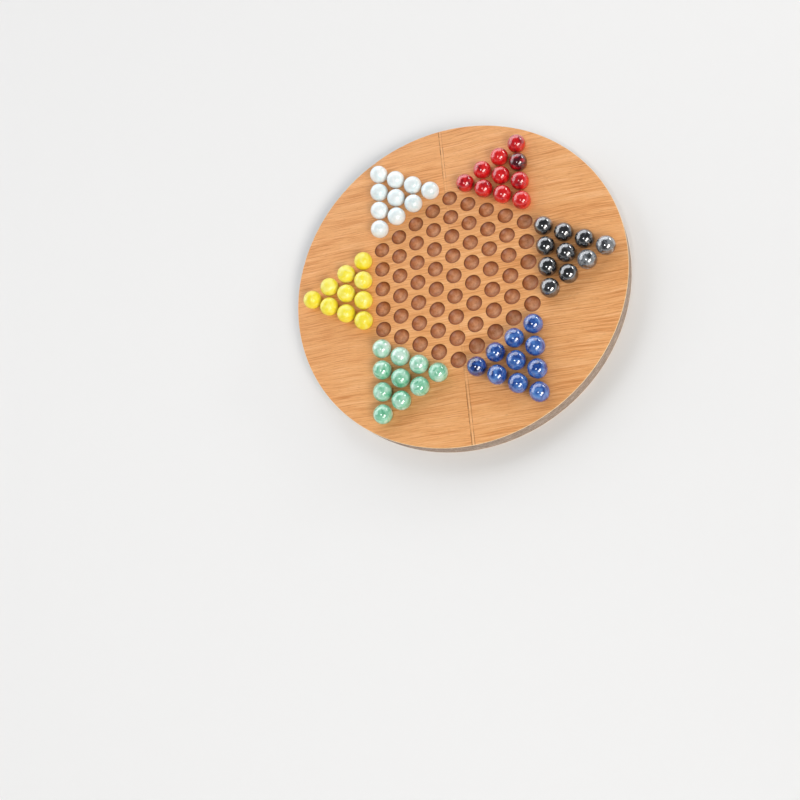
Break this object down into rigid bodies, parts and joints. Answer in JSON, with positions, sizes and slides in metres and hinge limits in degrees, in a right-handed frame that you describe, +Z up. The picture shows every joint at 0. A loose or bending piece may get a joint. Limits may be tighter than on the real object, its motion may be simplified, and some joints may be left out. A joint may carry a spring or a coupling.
{
  "type": "chinese checkers board",
  "caption": "Round veneered game board with a star-shaped field of shallow ball seats, its points filled with coloured glass marbles that lift out.",
  "frame": {"origin": "centre of the board's underside, on the surface that it lies on", "axes": "+Z up, square to the board; +X from the centre to the tip of the black point; the seats' columns run along Y"},
  "size_m": [0.2921, 0.292, 0.0281],
  "materials": {
    "fibreboard": "sawn and sanded edge, matt",
    "beech_face": "satin clear lacquer",
    "beech_back": "sanded, thin clear lacquer",
    "black_glass": "polished, metallic lustre",
    "red_glass": "polished, see-through",
    "white_glass": "polished, opaque milk glass",
    "yellow_glass": "polished, opaque",
    "green_glass": "polished, opaque with pale swirls",
    "blue_glass": "polished, opaque with pale swirls"
  },
  "bodies": {
    "board": {"core_disc": "fibreboard", "face_veneer": "beech_face", "back_veneer": "beech_back"},
    "black_tip_marble": {"black_tip_marble": "black_glass"},
    "black_second_row_marbles": {"black_second_row_marbles": "black_glass"},
    "black_third_row_marble_1": {"black_third_row_marble_1": "black_glass"},
    "black_third_row_marble_2": {"black_third_row_marble_2": "black_glass"},
    "black_third_row_marble_3": {"black_third_row_marble_3": "black_glass"},
    "black_fourth_row_marble_1": {"black_fourth_row_marble_1": "black_glass"},
    "black_fourth_row_marble_2": {"black_fourth_row_marble_2": "black_glass"},
    "black_fourth_row_marble_3": {"black_fourth_row_marble_3": "black_glass"},
    "black_fourth_row_marble_4": {"black_fourth_row_marble_4": "black_glass"},
    "red_tip_marble": {"red_tip_marble": "red_glass"},
    "red_second_row_marbles": {"red_second_row_marbles": "red_glass"},
    "red_third_row_marble_1": {"red_third_row_marble_1": "red_glass"},
    "red_third_row_marble_2": {"red_third_row_marble_2": "red_glass"},
    "red_third_row_marble_3": {"red_third_row_marble_3": "red_glass"},
    "red_fourth_row_marble_1": {"red_fourth_row_marble_1": "red_glass"},
    "red_fourth_row_marble_2": {"red_fourth_row_marble_2": "red_glass"},
    "red_fourth_row_marble_3": {"red_fourth_row_marble_3": "red_glass"},
    "red_fourth_row_marble_4": {"red_fourth_row_marble_4": "red_glass"},
    "white_tip_marble": {"white_tip_marble": "white_glass"},
    "white_second_row_marbles": {"white_second_row_marbles": "white_glass"},
    "white_third_row_marble_1": {"white_third_row_marble_1": "white_glass"},
    "white_third_row_marble_2": {"white_third_row_marble_2": "white_glass"},
    "white_third_row_marble_3": {"white_third_row_marble_3": "white_glass"},
    "white_fourth_row_marble_1": {"white_fourth_row_marble_1": "white_glass"},
    "white_fourth_row_marble_2": {"white_fourth_row_marble_2": "white_glass"},
    "white_fourth_row_marble_3": {"white_fourth_row_marble_3": "white_glass"},
    "white_fourth_row_marble_4": {"white_fourth_row_marble_4": "white_glass"},
    "yellow_tip_marble": {"yellow_tip_marble": "yellow_glass"},
    "yellow_second_row_marbles": {"yellow_second_row_marbles": "yellow_glass"},
    "yellow_third_row_marble_1": {"yellow_third_row_marble_1": "yellow_glass"},
    "yellow_third_row_marble_2": {"yellow_third_row_marble_2": "yellow_glass"},
    "yellow_third_row_marble_3": {"yellow_third_row_marble_3": "yellow_glass"},
    "yellow_fourth_row_marble_1": {"yellow_fourth_row_marble_1": "yellow_glass"},
    "yellow_fourth_row_marble_2": {"yellow_fourth_row_marble_2": "yellow_glass"},
    "yellow_fourth_row_marble_3": {"yellow_fourth_row_marble_3": "yellow_glass"},
    "yellow_fourth_row_marble_4": {"yellow_fourth_row_marble_4": "yellow_glass"},
    "green_tip_marble": {"green_tip_marble": "green_glass"},
    "green_second_row_marbles": {"green_second_row_marbles": "green_glass"},
    "green_third_row_marble_1": {"green_third_row_marble_1": "green_glass"},
    "green_third_row_marble_2": {"green_third_row_marble_2": "green_glass"},
    "green_third_row_marble_3": {"green_third_row_marble_3": "green_glass"},
    "green_fourth_row_marble_1": {"green_fourth_row_marble_1": "green_glass"},
    "green_fourth_row_marble_2": {"green_fourth_row_marble_2": "green_glass"},
    "green_fourth_row_marble_3": {"green_fourth_row_marble_3": "green_glass"},
    "green_fourth_row_marble_4": {"green_fourth_row_marble_4": "green_glass"},
    "blue_tip_marble": {"blue_tip_marble": "blue_glass"},
    "blue_second_row_marbles": {"blue_second_row_marbles": "blue_glass"},
    "blue_third_row_marble_1": {"blue_third_row_marble_1": "blue_glass"},
    "blue_third_row_marble_2": {"blue_third_row_marble_2": "blue_glass"},
    "blue_third_row_marble_3": {"blue_third_row_marble_3": "blue_glass"},
    "blue_fourth_row_marble_1": {"blue_fourth_row_marble_1": "blue_glass"},
    "blue_fourth_row_marble_2": {"blue_fourth_row_marble_2": "blue_glass"},
    "blue_fourth_row_marble_3": {"blue_fourth_row_marble_3": "blue_glass"},
    "blue_fourth_row_marble_4": {"blue_fourth_row_marble_4": "blue_glass"}
  },
  "joints": [
    {"name": "black_tip_marble_lift", "type": "slide", "parent": "board", "child": "black_tip_marble", "axis": [0, 0, 1], "range_m": [0, 0.03]},
    {"name": "black_second_row_marbles_lift", "type": "slide", "parent": "board", "child": "black_second_row_marbles", "axis": [0, 0, 1], "range_m": [0, 0.03]},
    {"name": "black_third_row_marble_1_lift", "type": "slide", "parent": "board", "child": "black_third_row_marble_1", "axis": [0, 0, 1], "range_m": [0, 0.03]},
    {"name": "black_third_row_marble_2_lift", "type": "slide", "parent": "board", "child": "black_third_row_marble_2", "axis": [0, 0, 1], "range_m": [0, 0.03]},
    {"name": "black_third_row_marble_3_lift", "type": "slide", "parent": "board", "child": "black_third_row_marble_3", "axis": [0, 0, 1], "range_m": [0, 0.03]},
    {"name": "black_fourth_row_marble_1_lift", "type": "slide", "parent": "board", "child": "black_fourth_row_marble_1", "axis": [0, 0, 1], "range_m": [0, 0.03]},
    {"name": "black_fourth_row_marble_2_lift", "type": "slide", "parent": "board", "child": "black_fourth_row_marble_2", "axis": [0, 0, 1], "range_m": [0, 0.03]},
    {"name": "black_fourth_row_marble_3_lift", "type": "slide", "parent": "board", "child": "black_fourth_row_marble_3", "axis": [0, 0, 1], "range_m": [0, 0.03]},
    {"name": "black_fourth_row_marble_4_lift", "type": "slide", "parent": "board", "child": "black_fourth_row_marble_4", "axis": [0, 0, 1], "range_m": [0, 0.03]},
    {"name": "red_tip_marble_lift", "type": "slide", "parent": "board", "child": "red_tip_marble", "axis": [0, 0, 1], "range_m": [0, 0.03]},
    {"name": "red_second_row_marbles_lift", "type": "slide", "parent": "board", "child": "red_second_row_marbles", "axis": [0, 0, 1], "range_m": [0, 0.03]},
    {"name": "red_third_row_marble_1_lift", "type": "slide", "parent": "board", "child": "red_third_row_marble_1", "axis": [0, 0, 1], "range_m": [0, 0.03]},
    {"name": "red_third_row_marble_2_lift", "type": "slide", "parent": "board", "child": "red_third_row_marble_2", "axis": [0, 0, 1], "range_m": [0, 0.03]},
    {"name": "red_third_row_marble_3_lift", "type": "slide", "parent": "board", "child": "red_third_row_marble_3", "axis": [0, 0, 1], "range_m": [0, 0.03]},
    {"name": "red_fourth_row_marble_1_lift", "type": "slide", "parent": "board", "child": "red_fourth_row_marble_1", "axis": [0, 0, 1], "range_m": [0, 0.03]},
    {"name": "red_fourth_row_marble_2_lift", "type": "slide", "parent": "board", "child": "red_fourth_row_marble_2", "axis": [0, 0, 1], "range_m": [0, 0.03]},
    {"name": "red_fourth_row_marble_3_lift", "type": "slide", "parent": "board", "child": "red_fourth_row_marble_3", "axis": [0, 0, 1], "range_m": [0, 0.03]},
    {"name": "red_fourth_row_marble_4_lift", "type": "slide", "parent": "board", "child": "red_fourth_row_marble_4", "axis": [0, 0, 1], "range_m": [0, 0.03]},
    {"name": "white_tip_marble_lift", "type": "slide", "parent": "board", "child": "white_tip_marble", "axis": [0, 0, 1], "range_m": [0, 0.03]},
    {"name": "white_second_row_marbles_lift", "type": "slide", "parent": "board", "child": "white_second_row_marbles", "axis": [0, 0, 1], "range_m": [0, 0.03]},
    {"name": "white_third_row_marble_1_lift", "type": "slide", "parent": "board", "child": "white_third_row_marble_1", "axis": [0, 0, 1], "range_m": [0, 0.03]},
    {"name": "white_third_row_marble_2_lift", "type": "slide", "parent": "board", "child": "white_third_row_marble_2", "axis": [0, 0, 1], "range_m": [0, 0.03]},
    {"name": "white_third_row_marble_3_lift", "type": "slide", "parent": "board", "child": "white_third_row_marble_3", "axis": [0, 0, 1], "range_m": [0, 0.03]},
    {"name": "white_fourth_row_marble_1_lift", "type": "slide", "parent": "board", "child": "white_fourth_row_marble_1", "axis": [0, 0, 1], "range_m": [0, 0.03]},
    {"name": "white_fourth_row_marble_2_lift", "type": "slide", "parent": "board", "child": "white_fourth_row_marble_2", "axis": [0, 0, 1], "range_m": [0, 0.03]},
    {"name": "white_fourth_row_marble_3_lift", "type": "slide", "parent": "board", "child": "white_fourth_row_marble_3", "axis": [0, 0, 1], "range_m": [0, 0.03]},
    {"name": "white_fourth_row_marble_4_lift", "type": "slide", "parent": "board", "child": "white_fourth_row_marble_4", "axis": [0, 0, 1], "range_m": [0, 0.03]},
    {"name": "yellow_tip_marble_lift", "type": "slide", "parent": "board", "child": "yellow_tip_marble", "axis": [0, 0, 1], "range_m": [0, 0.03]},
    {"name": "yellow_second_row_marbles_lift", "type": "slide", "parent": "board", "child": "yellow_second_row_marbles", "axis": [0, 0, 1], "range_m": [0, 0.03]},
    {"name": "yellow_third_row_marble_1_lift", "type": "slide", "parent": "board", "child": "yellow_third_row_marble_1", "axis": [0, 0, 1], "range_m": [0, 0.03]},
    {"name": "yellow_third_row_marble_2_lift", "type": "slide", "parent": "board", "child": "yellow_third_row_marble_2", "axis": [0, 0, 1], "range_m": [0, 0.03]},
    {"name": "yellow_third_row_marble_3_lift", "type": "slide", "parent": "board", "child": "yellow_third_row_marble_3", "axis": [0, 0, 1], "range_m": [0, 0.03]},
    {"name": "yellow_fourth_row_marble_1_lift", "type": "slide", "parent": "board", "child": "yellow_fourth_row_marble_1", "axis": [0, 0, 1], "range_m": [0, 0.03]},
    {"name": "yellow_fourth_row_marble_2_lift", "type": "slide", "parent": "board", "child": "yellow_fourth_row_marble_2", "axis": [0, 0, 1], "range_m": [0, 0.03]},
    {"name": "yellow_fourth_row_marble_3_lift", "type": "slide", "parent": "board", "child": "yellow_fourth_row_marble_3", "axis": [0, 0, 1], "range_m": [0, 0.03]},
    {"name": "yellow_fourth_row_marble_4_lift", "type": "slide", "parent": "board", "child": "yellow_fourth_row_marble_4", "axis": [0, 0, 1], "range_m": [0, 0.03]},
    {"name": "green_tip_marble_lift", "type": "slide", "parent": "board", "child": "green_tip_marble", "axis": [0, 0, 1], "range_m": [0, 0.03]},
    {"name": "green_second_row_marbles_lift", "type": "slide", "parent": "board", "child": "green_second_row_marbles", "axis": [0, 0, 1], "range_m": [0, 0.03]},
    {"name": "green_third_row_marble_1_lift", "type": "slide", "parent": "board", "child": "green_third_row_marble_1", "axis": [0, 0, 1], "range_m": [0, 0.03]},
    {"name": "green_third_row_marble_2_lift", "type": "slide", "parent": "board", "child": "green_third_row_marble_2", "axis": [0, 0, 1], "range_m": [0, 0.03]},
    {"name": "green_third_row_marble_3_lift", "type": "slide", "parent": "board", "child": "green_third_row_marble_3", "axis": [0, 0, 1], "range_m": [0, 0.03]},
    {"name": "green_fourth_row_marble_1_lift", "type": "slide", "parent": "board", "child": "green_fourth_row_marble_1", "axis": [0, 0, 1], "range_m": [0, 0.03]},
    {"name": "green_fourth_row_marble_2_lift", "type": "slide", "parent": "board", "child": "green_fourth_row_marble_2", "axis": [0, 0, 1], "range_m": [0, 0.03]},
    {"name": "green_fourth_row_marble_3_lift", "type": "slide", "parent": "board", "child": "green_fourth_row_marble_3", "axis": [0, 0, 1], "range_m": [0, 0.03]},
    {"name": "green_fourth_row_marble_4_lift", "type": "slide", "parent": "board", "child": "green_fourth_row_marble_4", "axis": [0, 0, 1], "range_m": [0, 0.03]},
    {"name": "blue_tip_marble_lift", "type": "slide", "parent": "board", "child": "blue_tip_marble", "axis": [0, 0, 1], "range_m": [0, 0.03]},
    {"name": "blue_second_row_marbles_lift", "type": "slide", "parent": "board", "child": "blue_second_row_marbles", "axis": [0, 0, 1], "range_m": [0, 0.03]},
    {"name": "blue_third_row_marble_1_lift", "type": "slide", "parent": "board", "child": "blue_third_row_marble_1", "axis": [0, 0, 1], "range_m": [0, 0.03]},
    {"name": "blue_third_row_marble_2_lift", "type": "slide", "parent": "board", "child": "blue_third_row_marble_2", "axis": [0, 0, 1], "range_m": [0, 0.03]},
    {"name": "blue_third_row_marble_3_lift", "type": "slide", "parent": "board", "child": "blue_third_row_marble_3", "axis": [0, 0, 1], "range_m": [0, 0.03]},
    {"name": "blue_fourth_row_marble_1_lift", "type": "slide", "parent": "board", "child": "blue_fourth_row_marble_1", "axis": [0, 0, 1], "range_m": [0, 0.03]},
    {"name": "blue_fourth_row_marble_2_lift", "type": "slide", "parent": "board", "child": "blue_fourth_row_marble_2", "axis": [0, 0, 1], "range_m": [0, 0.03]},
    {"name": "blue_fourth_row_marble_3_lift", "type": "slide", "parent": "board", "child": "blue_fourth_row_marble_3", "axis": [0, 0, 1], "range_m": [0, 0.03]},
    {"name": "blue_fourth_row_marble_4_lift", "type": "slide", "parent": "board", "child": "blue_fourth_row_marble_4", "axis": [0, 0, 1], "range_m": [0, 0.03]}
  ]
}
